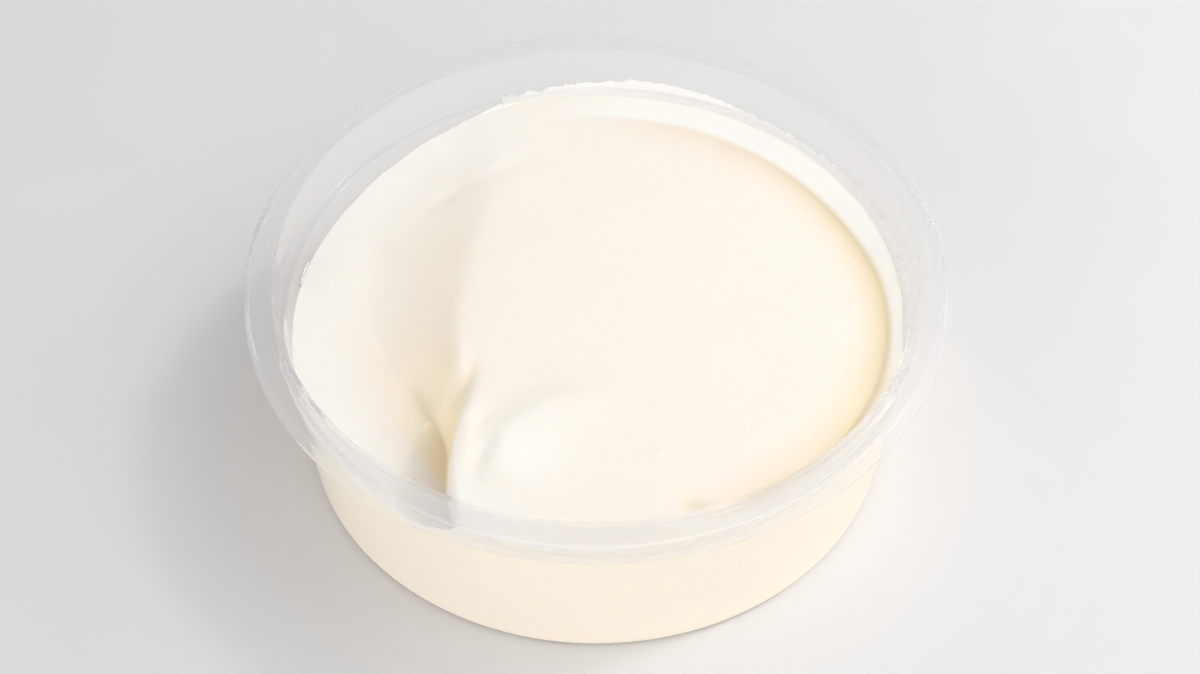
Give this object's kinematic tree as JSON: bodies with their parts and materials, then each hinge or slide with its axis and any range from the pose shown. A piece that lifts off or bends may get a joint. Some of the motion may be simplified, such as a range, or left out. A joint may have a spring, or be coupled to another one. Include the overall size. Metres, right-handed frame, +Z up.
{
  "type": "mayonnaise tub",
  "caption": "Shallow round clear plastic deli tub without its lid, filled with thick pale mayonnaise that keeps the marks of a spoon.",
  "frame": {"origin": "centre of the tub's underside, on the surface it stands on", "axes": "+Z up along the tub's axis; -Y towards the viewer, so the spoon's trough in the filling is at -X"},
  "size_m": [0.1016, 0.1016, 0.0329],
  "materials": {
    "clear_plastic": "clear, faintly milky polypropylene, glossy",
    "mayonnaise_cream": "pale cream mayonnaise, soft satin sheen"
  },
  "bodies": {
    "root": {"tub": "clear_plastic", "mayonnaise": "mayonnaise_cream"}
  },
  "joints": []
}
